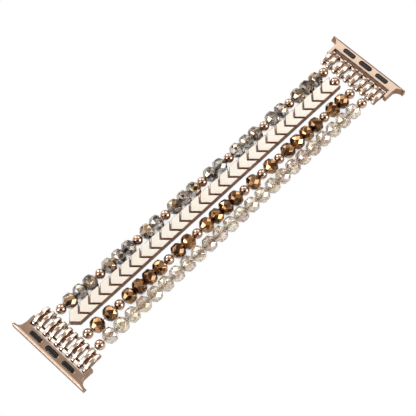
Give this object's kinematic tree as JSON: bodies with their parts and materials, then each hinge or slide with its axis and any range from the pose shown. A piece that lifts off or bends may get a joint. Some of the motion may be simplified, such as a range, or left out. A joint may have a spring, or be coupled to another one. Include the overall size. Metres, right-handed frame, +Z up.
{
  "type": "bead watch band",
  "caption": "Stretch bead watch band: strands of faceted crystals, chevron beads and small metal balls, joined by double-rail links to a lockable slide-in case adapter at each end.",
  "frame": {"origin": "on the surface that the band lies on, under the middle of its length and width", "axes": "+X along the band, +Y across it towards the smoky strand, +Z up, out of the side that faces the wrist"},
  "size_m": [0.168, 0.036, 0.0056],
  "materials": {
    "smoky_glass": "polished facets, smoky grey",
    "champagne_glass": "polished facets, faint lilac lustre",
    "bronze_glass": "opaque metallic bronze coating",
    "chevron_gold": "pale gold, polished",
    "ball_rose_gold": "polished rose gold",
    "clear_elastic": "clear elastic cord",
    "adapter_rose_gold": "satin rose gold plating",
    "link_rose_gold": "polished pale rose gold plating",
    "pin_rose_gold": "polished",
    "black_rubber": "matte",
    "black_plastic": "matte",
    "spring_steel": "bright"
  },
  "bodies": {
    "segment_1": {"smoky_crystals_1": "smoky_glass", "chevron_beads_1": "chevron_gold", "bronze_crystals_1": "bronze_glass", "champagne_crystals_1": "champagne_glass", "metal_balls_1": "ball_rose_gold", "elastic_cords_1": "clear_elastic"},
    "segment_2": {"smoky_crystals_2": "smoky_glass", "chevron_beads_2": "chevron_gold", "bronze_crystals_2": "bronze_glass", "champagne_crystals_2": "champagne_glass", "metal_balls_2": "ball_rose_gold", "elastic_cords_2": "clear_elastic"},
    "segment_3": {"smoky_crystals_3": "smoky_glass", "chevron_beads_3": "chevron_gold", "bronze_crystals_3": "bronze_glass", "champagne_crystals_3": "champagne_glass", "metal_balls_3": "ball_rose_gold", "elastic_cords_3": "clear_elastic"},
    "segment_4": {"smoky_crystals_4": "smoky_glass", "chevron_beads_4": "chevron_gold", "bronze_crystals_4": "bronze_glass", "champagne_crystals_4": "champagne_glass", "metal_balls_4": "ball_rose_gold", "elastic_cords_4": "clear_elastic"},
    "segment_5": {"smoky_crystals_5": "smoky_glass", "chevron_beads_5": "chevron_gold", "bronze_crystals_5": "bronze_glass", "champagne_crystals_5": "champagne_glass", "metal_balls_5": "ball_rose_gold", "elastic_cords_5": "clear_elastic"},
    "segment_6": {"smoky_crystals_6": "smoky_glass", "chevron_beads_6": "chevron_gold", "bronze_crystals_6": "bronze_glass", "champagne_crystals_6": "champagne_glass", "metal_balls_6": "ball_rose_gold", "elastic_cords_6": "clear_elastic"},
    "segment_7": {"smoky_crystals_7": "smoky_glass", "chevron_beads_7": "chevron_gold", "bronze_crystals_7": "bronze_glass", "champagne_crystals_7": "champagne_glass", "metal_balls_7": "ball_rose_gold", "elastic_cords_7": "clear_elastic"},
    "left_connector": {"left_links": "link_rose_gold", "left_pin_spacers": "pin_rose_gold", "left_cord_bar": "pin_rose_gold"},
    "left_case_adapter": {"left_adapter": "adapter_rose_gold", "left_rubber_pads": "black_rubber", "left_adapter_pin": "pin_rose_gold", "left_lock_spring": "spring_steel"},
    "left_lock": {"left_lock_tab": "black_plastic"},
    "right_connector": {"right_links": "link_rose_gold", "right_pin_spacers": "pin_rose_gold", "right_cord_bar": "pin_rose_gold"},
    "right_case_adapter": {"right_adapter": "adapter_rose_gold", "right_rubber_pads": "black_rubber", "right_adapter_pin": "pin_rose_gold", "right_lock_spring": "spring_steel"},
    "right_lock": {"right_lock_tab": "black_plastic"}
  },
  "joints": [
    {"name": "bend_3", "type": "hinge", "parent": "segment_4", "child": "segment_3", "pos_m": [-0.01269, 0, 0.00411], "axis": [0, 1, 0], "range_deg": [-7, 30]},
    {"name": "bend_2", "type": "hinge", "parent": "segment_3", "child": "segment_2", "pos_m": [-0.02773, 0, 0.00411], "axis": [0, 1, 0], "range_deg": [-7, 30]},
    {"name": "bend_1", "type": "hinge", "parent": "segment_2", "child": "segment_1", "pos_m": [-0.05017, 0, 0.00411], "axis": [0, 1, 0], "range_deg": [-7, 30]},
    {"name": "bend_4", "type": "hinge", "parent": "segment_4", "child": "segment_5", "pos_m": [0.01247, 0, 0.00411], "axis": [0, -1, 0], "range_deg": [-7, 30]},
    {"name": "bend_5", "type": "hinge", "parent": "segment_5", "child": "segment_6", "pos_m": [0.03241, 0, 0.00411], "axis": [0, -1, 0], "range_deg": [-7, 30]},
    {"name": "bend_6", "type": "hinge", "parent": "segment_6", "child": "segment_7", "pos_m": [0.05121, 0, 0.00411], "axis": [0, -1, 0], "range_deg": [-7, 30]},
    {"name": "left_cord_bar_hinge", "type": "hinge", "parent": "segment_1", "child": "left_connector", "pos_m": [-0.07193, 0, 0.00266], "axis": [0, 1, 0], "range_deg": [-60, 60]},
    {"name": "left_adapter_hinge", "type": "hinge", "parent": "left_connector", "child": "left_case_adapter", "pos_m": [-0.07792, 0, 0.0014], "axis": [0, 1, 0], "range_deg": [-70, 70]},
    {"name": "left_lock_press", "type": "slide", "parent": "left_case_adapter", "child": "left_lock", "axis": [0, 0, -1], "range_m": [0, 0.0006], "stiffness_N_per_m": 500, "springref_m": -0.0005, "deforming": ["left_lock_spring"]},
    {"name": "right_cord_bar_hinge", "type": "hinge", "parent": "segment_7", "child": "right_connector", "pos_m": [0.07193, 0, 0.00266], "axis": [0, -1, 0], "range_deg": [-60, 60]},
    {"name": "right_adapter_hinge", "type": "hinge", "parent": "right_connector", "child": "right_case_adapter", "pos_m": [0.07792, 0, 0.0014], "axis": [0, -1, 0], "range_deg": [-70, 70]},
    {"name": "right_lock_press", "type": "slide", "parent": "right_case_adapter", "child": "right_lock", "axis": [0, 0, -1], "range_m": [0, 0.0006], "stiffness_N_per_m": 500, "springref_m": -0.0005, "deforming": ["right_lock_spring"]}
  ]
}
